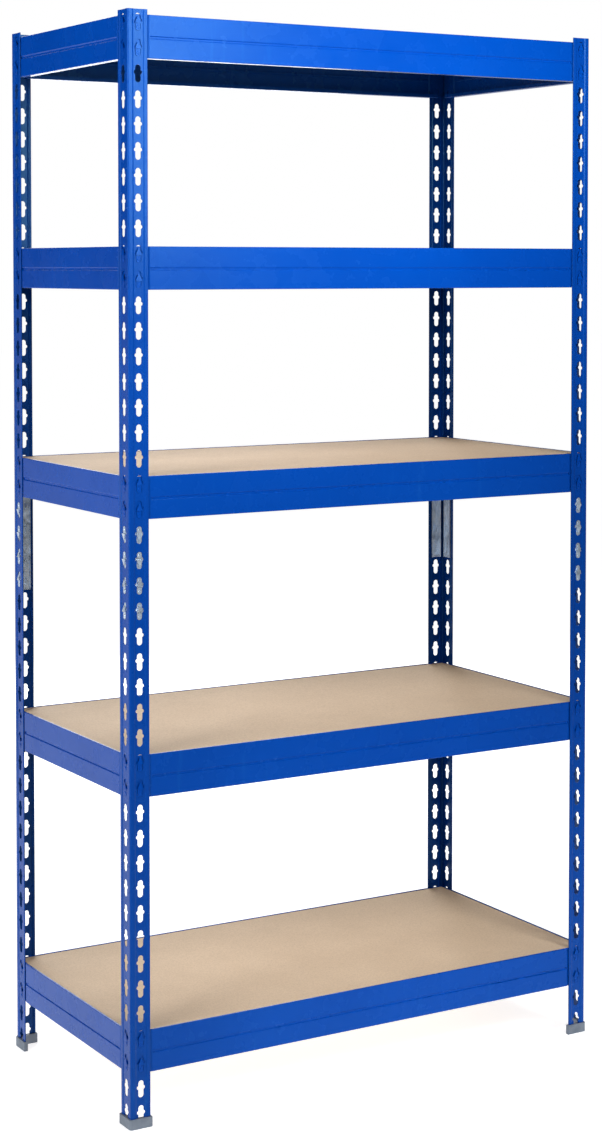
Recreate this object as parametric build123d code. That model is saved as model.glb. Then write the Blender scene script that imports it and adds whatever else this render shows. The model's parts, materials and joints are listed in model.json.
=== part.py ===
from build123d import *
import os

os.makedirs("parts", exist_ok=True)

# Boltless steel shelving: four L-section uprights, each in two halves joined by splice
# strips, five tiers of four hooked beams, a loose board on each tier, and a cap under
# each upright.  Millimetres, +Z up.  The origin is the centre of the footprint on the
# floor, +X runs along the width and +Y to the back.

# ---- overall ----
WIDTH = 900.0
DEPTH = 450.0
FOOT_BASE = 3.0

# ---- upright: keyholed L section, one half ----
HOLE_PITCH = 40.0
HOLES_PER_HALF = 22
HALF_LENGTH = HOLE_PITCH * HOLES_PER_HALF
UPRIGHT_LENGTH = 2 * HALF_LENGTH
UPRIGHT_TOP = FOOT_BASE + UPRIGHT_LENGTH
SHEET = 1.0
FLANGE = 35.0
CORNER_RADIUS = 3.0
TIGHT_BEND = 0.55
HOLE_LINE = 18.4
SWAGE_DEPTH = 1.0
SWAGE_START = 8.2
SWAGE_END = 29.2
SWAGE_SLOPE = 2.0
SWAGE_RADIUS = 1.5
HEM_SPACING = 1.2
HEM_START = 31.0

# ---- keyhole ----
SLOT_WIDTH = 9.5
SLOT_HEIGHT = 27.5
EAR_SPAN = 14.5
EAR_HEIGHT = 6.0
EAR_RISE = 2.2

# ---- beam: outline seen from its end, u inwards from the upright's face, v upwards ----
BEAM_HEIGHT = 68.0
WEB_U = 2.5
WEB_FORWARD = 1.5
TONGUE_START = 4.6
PROFILE_START = 24.0
JOGGLE_START = 35.6
JOGGLE_END = 38.6
GROOVE_V = 32.6
GROOVE_HEIGHT = 5.4
GROOVE_DEPTH = 1.3
GROOVE_SLOPE = 1.3
TOP_FOLD_SPACING = 1.2
LEDGE_V = 61.2
LEDGE_U = 19.0
LEDGE_LIP = 8.0
RETURN_U = 14.5
RETURN_LIP = 6.5

# ---- tiers, numbered from the top: the upper hooked keyhole of each ----
TIER_HOLES = (0, 9, 18, 29, 40)
BEAM_TOP_ABOVE_HOLE = 12.0

# ---- lug pressed out of a beam or a splice strip ----
LUG_NECK_WIDTH = 8.0
LUG_NECK_TOP = 3.0
LUG_SEAT_GAP = 0.3
LUG_HEAD_GAP = 0.3
LUG_HEAD_WIDTH = 11.5
LUG_HEAD_BOTTOM = -1.8
LUG_HEAD_TOP = 9.9
LUG_HEAD_THICK = 1.7
LUG_HEAD_THIN = 0.6
LUG_CORNER_RADIUS = 0.8
LUG_NIB_RADIUS = 2.3
LUG_NIB_Z = -8.0
LUG_NIB_PROUD = 1.0
LUG_WALL = 1.3
LUG_FLOOR = 0.5

# ---- board ----
BOARD_THICKNESS = 6.0
BOARD_SETBACK = 5.7
BOARD_CORNER_RADIUS = 1.5

# ---- splice strip ----
STRIP_WIDTH = 20.0
STRIP_CENTRE = 18.6
STRIP_LENGTH = 4 * HOLE_PITCH + 3.0
STRIP_LIP = 3.0

# ---- foot cap ----
FOOT_HEIGHT = 16.5
FOOT_WALL = 2.4
FOOT_INNER_WALL = 3.0
FOOT_WEB_RADIUS = 14.0
FOOT_EDGE_RADIUS = 1.0


def band(points, radius, plane):
    """A sheet-metal outline of constant thickness along bent centre-line points."""
    path = FilletPolyline(*points, radius=radius)
    return plane * trace(path, line_width=SHEET)


def hole_z(index):
    """Height of a keyhole's centre, counted from the top of the upright."""
    return UPRIGHT_TOP - HOLE_PITCH * (index + 0.5)


# ---------------------------------------------------------------- keyholes and lugs
def keyhole_outline():
    slot = SlotOverall(SLOT_HEIGHT, SLOT_WIDTH, rotation=90)
    ears = SlotOverall(EAR_SPAN, EAR_HEIGHT)
    return slot + Pos(0, EAR_RISE) * ears


def keyhole_cutter():
    """Keyhole through a sheet in the XZ plane, cutting from y = -SHEET to 2 * SHEET."""
    return Pos(0, 2 * SHEET, 0) * extrude(Plane.XZ * keyhole_outline(), 3 * SHEET)


def lug(root_u, head_up=True):
    """Lug on a tongue whose outer face is at y = root_u; the keyhole's sheet starts at y = 0.

    It is centred on its keyhole.  The neck rests in the end of the slot, and the head,
    wider than the slot, stands outside the sheet.
    """
    neck_bottom = LUG_SEAT_GAP - SLOT_HEIGHT / 2
    neck_height = LUG_NECK_TOP - neck_bottom
    neck_outline = Pos(0, (LUG_NECK_TOP + neck_bottom) / 2) * SlotOverall(
        neck_height, LUG_NECK_WIDTH, rotation=90
    )
    neck = Pos(0, root_u, 0) * extrude(Plane.XZ * neck_outline, root_u + LUG_HEAD_GAP)
    half = LUG_HEAD_WIDTH / 2
    triangle = Polygon(
        (-half, LUG_HEAD_BOTTOM), (half, LUG_HEAD_BOTTOM), (0, LUG_HEAD_TOP), align=None
    )
    triangle = fillet(triangle.vertices(), LUG_CORNER_RADIUS)
    head_plate = extrude(Plane.XZ * triangle, LUG_HEAD_GAP + LUG_HEAD_THICK)
    wedge_outline = Polygon(
        (-LUG_HEAD_GAP, LUG_HEAD_BOTTOM),
        (-LUG_HEAD_GAP - LUG_HEAD_THICK, LUG_HEAD_BOTTOM),
        (-LUG_HEAD_GAP - LUG_HEAD_THIN, LUG_HEAD_TOP),
        (-LUG_HEAD_GAP, LUG_HEAD_TOP),
        align=None,
    )
    wedge = extrude(Plane.YZ * wedge_outline, half, both=True)
    nib = Pos(0, 0, LUG_NIB_Z) * Rot(90, 0, 0) * Cylinder(
        LUG_NIB_RADIUS, LUG_NIB_PROUD, align=(Align.CENTER, Align.CENTER, Align.MIN)
    )
    nib = chamfer(nib.edges().sort_by(Axis.Y)[0], LUG_NIB_PROUD / 2)
    solid = neck + (head_plate & wedge) + nib
    return solid if head_up else Rot(0, 180, 0) * solid


def lug_hollow(back_u, head_up=True):
    """The press leaves each lug's neck hollow behind: the space to cut, up to y = back_u."""
    neck_bottom = LUG_SEAT_GAP - SLOT_HEIGHT / 2
    height = LUG_NECK_TOP - neck_bottom - 2 * LUG_WALL
    outline = Pos(0, (LUG_NECK_TOP + neck_bottom) / 2) * SlotOverall(
        height, LUG_NECK_WIDTH - 2 * LUG_WALL, rotation=90
    )
    space = Pos(0, back_u + LUG_FLOOR, 0) * extrude(Plane.XZ * outline, back_u)
    return space if head_up else Rot(0, 180, 0) * space


# ---------------------------------------------------------------- uprights
def upright_section():
    """L section seen from above, its outer corner at the origin, flanges along +X and +Y.

    Each flange is swaged inwards between its corner and its hemmed edge.
    """
    mid = SHEET / 2
    edge = FLANGE - mid
    flange = [
        (HEM_START, mid + HEM_SPACING),
        (edge, mid + HEM_SPACING),
        (edge, mid),
        (SWAGE_END, mid),
        (SWAGE_END - SWAGE_SLOPE, mid + SWAGE_DEPTH),
        (SWAGE_START + SWAGE_SLOPE, mid + SWAGE_DEPTH),
        (SWAGE_START, mid),
    ]
    other = [(y, x) for x, y in reversed(flange)]
    points = flange + [(mid, mid)] + other
    bends = [TIGHT_BEND] * 2 + [SWAGE_RADIUS] * 4
    radii = bends + [CORNER_RADIUS - mid] + bends[::-1]
    return band(points, radii, Plane.XY)


def upright_half(lower_hole, base_z):
    """One half of the front left upright, with its outer corner on the Z axis."""
    solid = Pos(0, 0, base_z) * extrude(upright_section(), HALF_LENGTH)
    cutter = keyhole_cutter()
    holes = []
    for step in range(HOLES_PER_HALF):
        centre_z = hole_z(lower_hole - step)
        holes.append(Pos(HOLE_LINE, SWAGE_DEPTH, centre_z) * cutter)
        holes.append(Pos(SWAGE_DEPTH, HOLE_LINE, centre_z) * Rot(0, 0, -90) * cutter)
    return solid - holes


# ---------------------------------------------------------------- splice strips
def splice_strip():
    """Strip behind the front flange of the front left upright, across the joint."""
    mid = SHEET / 2
    low = STRIP_CENTRE - STRIP_WIDTH / 2 + mid
    high = STRIP_CENTRE + STRIP_WIDTH / 2 - mid
    back_y = SWAGE_DEPTH + SHEET
    root = back_y + mid
    lip = back_y + STRIP_LIP
    section = band([(low, lip), (low, root), (high, root), (high, lip)], TIGHT_BEND, Plane.XY)
    joint_z = FOOT_BASE + HALF_LENGTH
    strip = Pos(0, 0, joint_z - STRIP_LENGTH / 2) * extrude(section, STRIP_LENGTH)
    for index in range(HOLES_PER_HALF - 2, HOLES_PER_HALF + 2):
        head_up = index >= HOLES_PER_HALF
        place = Pos(HOLE_LINE, SWAGE_DEPTH, hole_z(index))
        strip += place * lug(SHEET, head_up)
        strip -= place * lug_hollow(2 * SHEET, head_up)
    return strip


# ---------------------------------------------------------------- foot caps
def foot():
    """Cap under the front left upright: an L-shaped cup with a curved web inside."""
    low = -FOOT_WALL
    high = FLANGE + FOOT_WALL
    inner = SWAGE_DEPTH + SHEET + FOOT_INNER_WALL
    outline = Polygon(
        (low, low), (high, low), (high, inner), (inner, inner), (inner, high), (low, high),
        align=None,
    )
    corner = outline.vertices().sort_by_distance((low, low))[0]
    outline = fillet(corner, CORNER_RADIUS + FOOT_WALL)
    inside = outline.vertices().sort_by_distance((inner, inner))[0]
    outline = fillet(inside, FOOT_WEB_RADIUS)
    tips = outline.vertices().filter_by(lambda v: max(v.X, v.Y) > high - SHEET)
    outline = fillet(tips, FOOT_EDGE_RADIUS)
    cup = extrude(outline, FOOT_HEIGHT)
    cup = chamfer(cup.edges().group_by(Axis.Z)[0], FOOT_EDGE_RADIUS / 2)
    socket = Pos(0, 0, FOOT_BASE) * extrude(upright_section(), FOOT_HEIGHT)
    return cup - socket


# ---------------------------------------------------------------- beams
def beam_section(web_u, groove):
    """Beam outline in the YZ plane from the bottom return round to the ledge's lip."""
    mid = SHEET / 2
    web = web_u + mid
    fold = WEB_U + mid + TOP_FOLD_SPACING
    points = [
        (RETURN_U - mid, RETURN_LIP),
        (RETURN_U - mid, mid),
        (web, mid),
    ]
    if groove:
        low = GROOVE_V - GROOVE_HEIGHT / 2
        high = GROOVE_V + GROOVE_HEIGHT / 2
        floor = web + GROOVE_DEPTH
        points += [
            (web, low),
            (floor, low + GROOVE_SLOPE),
            (floor, high - GROOVE_SLOPE),
            (web, high),
        ]
    points += [
        (web, BEAM_HEIGHT - mid),
        (fold, BEAM_HEIGHT - mid),
        (fold, LEDGE_V - mid),
        (LEDGE_U - mid, LEDGE_V - mid),
        (LEDGE_U - mid, LEDGE_V - LEDGE_LIP),
    ]
    return band(points, TIGHT_BEND, Plane.YZ)


def beam_end():
    """The end of a beam from its tongue to the start of the groove, its tip at x = 0."""
    narrow_face = beam_section(WEB_U, groove=False)
    wide_face = beam_section(WEB_U - WEB_FORWARD, groove=False)
    end = Pos(PROFILE_START, 0, 0) * extrude(narrow_face, JOGGLE_START - PROFILE_START)
    end += loft([Pos(JOGGLE_START, 0, 0) * narrow_face.face(), Pos(JOGGLE_END, 0, 0) * wide_face.face()])
    end += Pos(TONGUE_START, WEB_U, 0) * Box(
        PROFILE_START - TONGUE_START + SHEET, SHEET, BEAM_HEIGHT,
        align=(Align.MIN, Align.MIN, Align.MIN),
    )
    end += Pos(JOGGLE_END, WEB_U - WEB_FORWARD, GROOVE_V) * Box(
        SHEET, SHEET + GROOVE_DEPTH, GROOVE_HEIGHT, align=(Align.MIN, Align.MIN, Align.CENTER)
    )
    upper_hook_z = BEAM_HEIGHT - BEAM_TOP_ABOVE_HOLE
    for hook_z in (upper_hook_z, upper_hook_z - HOLE_PITCH):
        place = Pos(HOLE_LINE, SWAGE_DEPTH, hook_z)
        end += place * lug(WEB_U - SWAGE_DEPTH)
        end -= place * lug_hollow(WEB_U - SWAGE_DEPTH + SHEET)
    return end


def beam(length):
    """Beam along X with its face to -Y; y = 0 is the uprights' face, z = 0 its bottom."""
    half = length / 2
    middle_face = beam_section(WEB_U - WEB_FORWARD, groove=True)
    middle = Pos(JOGGLE_END - half, 0, 0) * extrude(middle_face, length - 2 * JOGGLE_END)
    left = Pos(-half, 0, 0) * beam_end()
    return middle + left + mirror(left, about=Plane.YZ)


# ---------------------------------------------------------------- boards
def board():
    outline = RectangleRounded(
        WIDTH - 2 * BOARD_SETBACK, DEPTH - 2 * BOARD_SETBACK, BOARD_CORNER_RADIUS
    )
    return extrude(outline, BOARD_THICKNESS)


# ---------------------------------------------------------------- placing and writing
def at_corner(piece, side, end):
    """Move a piece of the front left corner to any corner of the footprint."""
    placed = Pos(-WIDTH / 2, -DEPTH / 2, 0) * piece
    if side == "right":
        placed = mirror(placed, about=Plane.YZ)
    if end == "back":
        placed = mirror(placed, about=Plane.XZ)
    return placed


def write(piece, node):
    solids = piece.solids()
    if len(solids) != 1:
        raise ValueError(f"{node} has {len(solids)} solids")
    export_step(solids[0], f"parts/{node}.step")


def write_uprights():
    joint_z = FOOT_BASE + HALF_LENGTH
    lower = upright_half(2 * HOLES_PER_HALF - 1, FOOT_BASE)
    upper = upright_half(HOLES_PER_HALF - 1, joint_z)
    front_strip = splice_strip()
    side_strip = mirror(front_strip, about=Plane((0, 0, 0), z_dir=(1, -1, 0)))
    cap = foot()
    for end in ("front", "back"):
        for side in ("left", "right"):
            corner = f"{end}_{side}"
            write(at_corner(upper, side, end), f"post_{corner}_upper")
            write(at_corner(lower, side, end), f"post_{corner}_lower")
            write(at_corner(front_strip, side, end), f"splice_{corner}_wide_face")
            write(at_corner(side_strip, side, end), f"splice_{corner}_end_face")
            write(at_corner(cap, side, end), f"foot_{corner}")


def write_tiers():
    long_beam = beam(WIDTH)
    short_beam = beam(DEPTH)
    shelf = board()
    places = {
        "front": (long_beam, 0, DEPTH / 2),
        "right": (short_beam, 90, WIDTH / 2),
        "back": (long_beam, 180, DEPTH / 2),
        "left": (short_beam, 270, WIDTH / 2),
    }
    for number, hole in enumerate(TIER_HOLES, start=1):
        base_z = hole_z(hole) + BEAM_TOP_ABOVE_HOLE - BEAM_HEIGHT
        for face, (piece, turn, reach) in places.items():
            placed = Pos(0, 0, base_z) * Rot(0, 0, turn) * Pos(0, -reach, 0) * piece
            write(placed, f"beam_{number}_{face}")
        write(Pos(0, 0, base_z + LEDGE_V) * shelf, f"board_{number}")


write_uprights()
write_tiers()
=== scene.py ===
import bpy
import json
import math
from mathutils import Euler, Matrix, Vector

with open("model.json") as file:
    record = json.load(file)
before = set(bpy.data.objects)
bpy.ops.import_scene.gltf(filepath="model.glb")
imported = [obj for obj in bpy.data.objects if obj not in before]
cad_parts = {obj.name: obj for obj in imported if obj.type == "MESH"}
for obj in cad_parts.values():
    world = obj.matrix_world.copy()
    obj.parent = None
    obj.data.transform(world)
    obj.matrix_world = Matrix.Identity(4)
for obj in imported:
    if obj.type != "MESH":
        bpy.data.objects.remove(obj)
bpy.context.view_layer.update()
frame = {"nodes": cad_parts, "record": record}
scene = bpy.context.scene
scene.view_settings.view_transform = "Standard"

# Metres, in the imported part's own frame: +X along the width, +Y to the back, +Z up.
UPRIGHT_CORNER = Vector((-0.45, -0.225, 0.003))

# Painted shade on inside faces: how much of the colour there is painted shade, the colour of the
# painted shade, and the range of position . normal (metres) over which a face goes from inside
# to outside.
INSIDE_SHADE = 0.58
SHADE_COLOUR = (0.0, 0.006, 0.03)
FACES_IN = -0.16
FACES_OUT = -0.08

# The sawn edge of a board.
ARRIS_WIDTH = 0.0005
ARRIS_ANGLE = math.radians(40)

# The floor's own light: what it sheds in front of and behind the object, and how white it
# looks near the object and far from it.
FLOOR_SIZE = 60.0
FLOOR_GLOW_FRONT = 0.2
FLOOR_GLOW_BACK = 0.6
FLOOR_SEEN_NEAR = 0.75
FLOOR_SEEN_FAR = 1.0

# Light that the room sheds; seen directly, it is plain white.
ROOM_FILL = 0.0

# Soft boxes: name, place, point aimed at, size, spread in degrees, watts.
LIGHTS = (
    ("top_front", (0.15, -1.6, 2.4), (0.0, -0.22, 1.7), (0.8, 0.8), 66.0, 4.5),
    ("near_front", (0.18, -1.9, 1.8), (-0.4, -0.22, 1.65), (0.8, 0.8), 80.0, 3.0),
    ("camera_side", (-0.8, -3.25, 1.95), (-0.2, -0.22, 1.6), (2.4, 0.3), 80.0, 4.5),
    ("low_front", (0.3, -1.7, 1.35), (0.05, -0.12, 0.06), (0.9, 0.4), 40.0, 1.4),
    ("left_high", (-2.2, -0.9, 2.1), (-0.4, -0.2, 1.4), (0.7, 0.9), 180.0, 19.0),
    ("left", (-3.2, 0.0, 1.2), (-0.45, 0.0, 0.7), (2.0, 1.6), 180.0, 20.0),
    ("back_high", (0.3, 2.6, 3.2), (0.0, 0.0, 0.9), (2.4, 1.6), 180.0, 32.0),
    ("back", (0.9, 3.4, 1.8), (0.0, 0.0, 0.9), (2.4, 2.8), 180.0, 64.0),
)

# The camera: image height and focal length in pixels, its place from UPRIGHT_CORNER, the
# turn and tilt of its axis in degrees, and the shift of the picture in pixels.
IMAGE_HEIGHT = 1138.0
FOCAL = 2225.1
CAMERA_PLACE = Vector((-1.5336, -3.1142, 1.3571))
CAMERA_YAW = 30.738
CAMERA_PITCH = -2.382
SHIFT_X = -3.2
SHIFT_Y = -207.8
SENSOR = 36.0


# ------------------------------------------------------------------ material kit
class Look:
    """A Principled material and short calls for the nodes that feed it."""

    def __init__(self, name):
        self.material = bpy.data.materials.new(name)
        self.material.use_nodes = True
        self.tree = self.material.node_tree
        self.tree.nodes.clear()
        self.output = self.tree.nodes.new("ShaderNodeOutputMaterial")
        self.shader = self.tree.nodes.new("ShaderNodeBsdfPrincipled")
        self.link(self.shader.outputs["BSDF"], self.output.inputs["Surface"])
        self.place = self.tree.nodes.new("ShaderNodeTexCoord").outputs["Object"]

    def link(self, source, target):
        self.tree.links.new(source, target)

    def set(self, values):
        for name, value in values.items():
            self.shader.inputs[name].default_value = value

    def stretched(self, scale):
        node = self.tree.nodes.new("ShaderNodeMapping")
        node.inputs["Scale"].default_value = scale
        self.link(self.place, node.inputs["Vector"])
        return node.outputs["Vector"]

    def noise(self, scale, detail=3.0, roughness=0.55, stretch=None):
        node = self.tree.nodes.new("ShaderNodeTexNoise")
        node.inputs["Scale"].default_value = scale
        node.inputs["Detail"].default_value = detail
        node.inputs["Roughness"].default_value = roughness
        self.link(self.stretched(stretch) if stretch else self.place, node.inputs["Vector"])
        return node.outputs["Fac"]

    def cells(self, scale):
        node = self.tree.nodes.new("ShaderNodeTexVoronoi")
        node.inputs["Scale"].default_value = scale
        self.link(self.place, node.inputs["Vector"])
        return node.outputs["Color"]

    def spread(self, value, low, high, to_low=0.0, to_high=1.0):
        node = self.tree.nodes.new("ShaderNodeMapRange")
        ends = {"From Min": low, "From Max": high, "To Min": to_low, "To Max": to_high}
        for name, end in ends.items():
            if isinstance(end, (int, float)):
                node.inputs[name].default_value = end
            else:
                self.link(end, node.inputs[name])
        self.link(value, node.inputs["Value"])
        return node.outputs["Result"]

    def math(self, operation, first, second=0.0):
        node = self.tree.nodes.new("ShaderNodeMath")
        node.operation = operation
        for socket, value in zip(node.inputs, (first, second)):
            if isinstance(value, (int, float)):
                socket.default_value = value
            else:
                self.link(value, socket)
        return node.outputs[0]

    def blend(self, share, first, second):
        node = self.tree.nodes.new("ShaderNodeMix")
        node.data_type = "RGBA"
        colours = [s for s in node.inputs if s.type == "RGBA"]
        for socket, value in zip(colours, (first, second)):
            if isinstance(value, tuple):
                socket.default_value = (*value, 1.0)
            else:
                self.link(value, socket)
        self.link(share, node.inputs["Factor"])
        return next(s for s in node.outputs if s.type == "RGBA")

    def painted_shade_inward(self, share):
        """`share` on faces that look at the shelving's middle, nothing elsewhere.

        It is painted shade: the colour turns darker there to stand in for the deep shade inside
        the shelving.
        """
        shape = self.tree.nodes.new("ShaderNodeNewGeometry")
        facing = self.tree.nodes.new("ShaderNodeVectorMath")
        facing.operation = "DOT_PRODUCT"
        flat = self.tree.nodes.new("ShaderNodeVectorMath")
        flat.operation = "MULTIPLY"
        flat.inputs[1].default_value = (1.0, 1.0, 0.0)
        self.link(shape.outputs["Position"], flat.inputs[0])
        self.link(flat.outputs["Vector"], facing.inputs[0])
        self.link(shape.outputs["True Normal"], facing.inputs[1])
        return self.spread(facing.outputs["Value"], FACES_IN, FACES_OUT, share, 0.0)

    def colour(self, value):
        self.link(value, self.shader.inputs["Base Color"])

    def rough(self, value):
        self.link(value, self.shader.inputs["Roughness"])

    def bump(self, height, distance, strength=1.0, under=None):
        node = self.tree.nodes.new("ShaderNodeBump")
        node.inputs["Distance"].default_value = distance
        node.inputs["Strength"].default_value = strength
        self.link(height, node.inputs["Height"])
        if under is not None:
            self.link(under, node.inputs["Normal"])
        self.link(node.outputs["Normal"], self.shader.inputs["Normal"])
        return node.outputs["Normal"]


def powder_coat(name, colour, deep, pale):
    """Stoved powder paint: an orange-peel skin, slow drifts of tone, faint handling marks, and
    painted shade on faces that look at the shelving's middle.
    """
    look = Look(name)
    drift = look.spread(look.noise(3.5, 2.0), 0.35, 0.65)
    tone = look.blend(drift, deep, colour)
    scuffs = look.noise(60.0, 4.0, 0.6, stretch=(1.0, 1.0, 0.12))
    marks = look.spread(scuffs, 0.62, 0.80, 0.0, 0.35)
    coat = look.blend(marks, tone, pale)
    # Painted shade: faces that look at the shelving's middle are blended towards SHADE_COLOUR to
    # stand in for the shade inside it.
    look.colour(look.blend(look.painted_shade_inward(INSIDE_SHADE), coat, SHADE_COLOUR))
    look.rough(look.spread(look.noise(25.0, 4.0), 0.3, 0.7, 0.22, 0.31))
    peel = look.noise(900.0, 2.0, 0.5)
    ripple = look.noise(140.0, 1.0)
    wave = look.bump(ripple, 0.0004, 0.12)
    look.bump(peel, 0.00012, 0.35, under=wave)
    look.set({"Specular IOR Level": 0.36, "Specular Tint": (0.26, 0.66, 1.0, 1.0)})
    return look.material


def galvanised(name):
    """Zinc-plated strip: pale crystals of slightly different grey and rolling lines."""
    look = Look(name)
    crystals = look.cells(260.0)
    grey = look.tree.nodes.new("ShaderNodeRGBToBW")
    look.link(crystals, grey.inputs["Color"])
    spangle = look.spread(grey.outputs["Val"], 0.1, 0.9)
    base = look.blend(spangle, (0.56, 0.70, 0.88), (0.72, 0.83, 0.97))
    bloom = look.spread(look.noise(40.0, 4.0), 0.45, 0.75, 0.0, 0.5)
    look.colour(look.blend(bloom, base, (0.80, 0.86, 0.95)))
    look.rough(look.spread(spangle, 0.0, 1.0, 0.15, 0.24))
    dents = look.bump(look.noise(60.0, 1.0, stretch=(1.0, 1.0, 0.7)), 0.0035, 0.8)
    look.bump(look.noise(700.0, 3.0, stretch=(1.0, 1.0, 0.08)), 0.0001, 0.3, under=dents)
    look.set({"Metallic": 0.62})
    return look.material


def moulded_plastic(name):
    """Grey moulded cap with a fine spark-eroded grain."""
    look = Look(name)
    clouds = look.spread(look.noise(60.0, 3.0), 0.35, 0.65)
    look.colour(look.blend(clouds, (0.165, 0.205, 0.260), (0.220, 0.262, 0.325)))
    look.rough(look.spread(look.noise(220.0, 3.0), 0.3, 0.7, 0.46, 0.60))
    look.bump(look.noise(2600.0, 2.0), 0.00012, 0.5)
    return look.material


def fibreboard(name):
    """Raw medium-density board: pressed fibre flecks on the faces, a felted sawn edge."""
    look = Look(name)
    flecks = look.noise(420.0, 6.0, 0.7, stretch=(1.0, 0.55, 1.0))
    clouds = look.noise(9.0, 4.0, 0.6)
    pale = look.blend(look.spread(clouds, 0.3, 0.7), (0.67, 0.510, 0.350), (0.73, 0.565, 0.395))
    face = look.blend(look.spread(flecks, 0.42, 0.66, 0.0, 0.5), pale, (0.49, 0.365, 0.245))
    edge = look.blend(
        look.spread(look.noise(500.0, 5.0, 0.7, stretch=(0.5, 0.5, 2.5)), 0.4, 0.7),
        (0.70, 0.585, 0.445), (0.54, 0.44, 0.32),
    )
    normal = look.tree.nodes.new("ShaderNodeNewGeometry").outputs["True Normal"]
    parts = look.tree.nodes.new("ShaderNodeSeparateXYZ")
    look.link(normal, parts.inputs["Vector"])
    flatness = look.math("ABSOLUTE", parts.outputs["Z"])
    look.colour(look.blend(look.spread(flatness, 0.3, 0.7), edge, face))
    look.rough(look.spread(flecks, 0.3, 0.7, 0.62, 0.80))
    look.bump(look.noise(900.0, 5.0, 0.7), 0.00015, 0.4)
    return look.material


FINISH = {
    "post_paint": powder_coat(
        "upright_paint", (0.001, 0.062, 0.40), (0.0, 0.052, 0.35), (0.010, 0.115, 0.49)
    ),
    "beam_paint": powder_coat(
        "beam_paint", (0.0, 0.068, 0.45), (0.0, 0.058, 0.40), (0.010, 0.125, 0.54)
    ),
    "zinc": galvanised("galvanised_steel"),
    "foot_plastic": moulded_plastic("grey_plastic"),
    "board": fibreboard("fibreboard"),
}


# ------------------------------------------------------------------ finishes on the frame
def finish_nodes():
    slots = {s["node"]: s["material_slot"] for s in frame["record"]["subparts"]}
    for name, piece in frame["nodes"].items():
        piece.data.materials.clear()
        piece.data.materials.append(FINISH[slots[name]])
        piece.material_slots[0].material = FINISH[slots[name]]


def soften_board_edges():
    """The saw leaves a slightly broken arris on each board."""
    for name, piece in frame["nodes"].items():
        if name.startswith("board_"):
            arris = piece.modifiers.new("arris", "BEVEL")
            arris.width = ARRIS_WIDTH
            arris.segments = 2
            arris.limit_method = "ANGLE"
            arris.angle_limit = ARRIS_ANGLE


# ------------------------------------------------------------------ stage, lights, camera
def add_floor():
    """A studio floor that sheds less light in front of the object than behind it.

    Seen by the camera it is brighter than what it sheds, and near white.
    """
    bpy.ops.mesh.primitive_plane_add(size=FLOOR_SIZE)
    floor = bpy.context.object
    floor.name = "studio_floor"
    look = Look("studio_floor")
    tone = look.spread(look.noise(0.7), 0.3, 0.7)
    look.colour(look.blend(tone, (0.74, 0.74, 0.74), (0.78, 0.78, 0.78)))
    look.rough(look.spread(look.noise(3.0), 0.3, 0.7, 0.75, 0.9))
    parts = look.tree.nodes.new("ShaderNodeSeparateXYZ")
    look.link(look.place, parts.inputs["Vector"])
    deep = look.math("MULTIPLY", parts.outputs["Y"], 0.8)
    behind = look.math("SUBTRACT", deep, look.math("MULTIPLY", parts.outputs["X"], 0.6))
    cast = look.spread(behind, -2.4, -1.3, FLOOR_GLOW_FRONT, FLOOR_GLOW_BACK)
    reach = look.tree.nodes.new("ShaderNodeVectorMath")
    reach.operation = "LENGTH"
    look.link(look.place, reach.inputs[0])
    shown = look.spread(reach.outputs["Value"], 0.8, 3.0, FLOOR_SEEN_NEAR, FLOOR_SEEN_FAR)
    seen = look.tree.nodes.new("ShaderNodeLightPath").outputs["Is Camera Ray"]
    look.set({"Emission Color": (1.0, 1.0, 1.0, 1.0)})
    look.link(look.spread(seen, 0.0, 1.0, cast, shown), look.shader.inputs["Emission Strength"])
    floor.data.materials.append(look.material)


def add_area_light(name, place, target, size, spread, power):
    light = bpy.data.lights.new(name, "AREA")
    light.shape = "RECTANGLE"
    light.size, light.size_y = size
    light.spread = math.radians(spread)
    light.energy = power
    lamp = bpy.data.objects.new(name, light)
    lamp.location = place
    lamp.visible_camera = False
    aim = Vector(target) - Vector(place)
    lamp.rotation_euler = aim.to_track_quat("-Z", "Y").to_euler()
    scene.collection.objects.link(lamp)


def add_world():
    """White where the camera sees it, and ROOM_FILL for everything that it lights."""
    world = bpy.data.worlds.new("studio")
    world.use_nodes = True
    tree = world.node_tree
    background = tree.nodes["Background"]
    background.inputs["Color"].default_value = (1.0, 1.0, 1.0, 1.0)
    path = tree.nodes.new("ShaderNodeLightPath")
    strength = tree.nodes.new("ShaderNodeMapRange")
    strength.inputs["To Min"].default_value = ROOM_FILL
    strength.inputs["To Max"].default_value = 1.0
    tree.links.new(path.outputs["Is Camera Ray"], strength.inputs["Value"])
    tree.links.new(strength.outputs["Result"], background.inputs["Strength"])
    scene.world = world


def add_camera():
    camera = bpy.data.objects.new("camera", bpy.data.cameras.new("camera"))
    camera.location = UPRIGHT_CORNER + CAMERA_PLACE
    tilt = math.pi / 2 + math.radians(CAMERA_PITCH)
    camera.rotation_euler = Euler((tilt, 0.0, -math.radians(CAMERA_YAW)))
    camera.data.sensor_width = SENSOR
    camera.data.lens = FOCAL / IMAGE_HEIGHT * SENSOR
    camera.data.shift_x = SHIFT_X / IMAGE_HEIGHT
    camera.data.shift_y = SHIFT_Y / IMAGE_HEIGHT
    scene.collection.objects.link(camera)
    scene.camera = camera


finish_nodes()
soften_board_edges()
add_floor()
for light in LIGHTS:
    add_area_light(*light)
add_world()
add_camera()
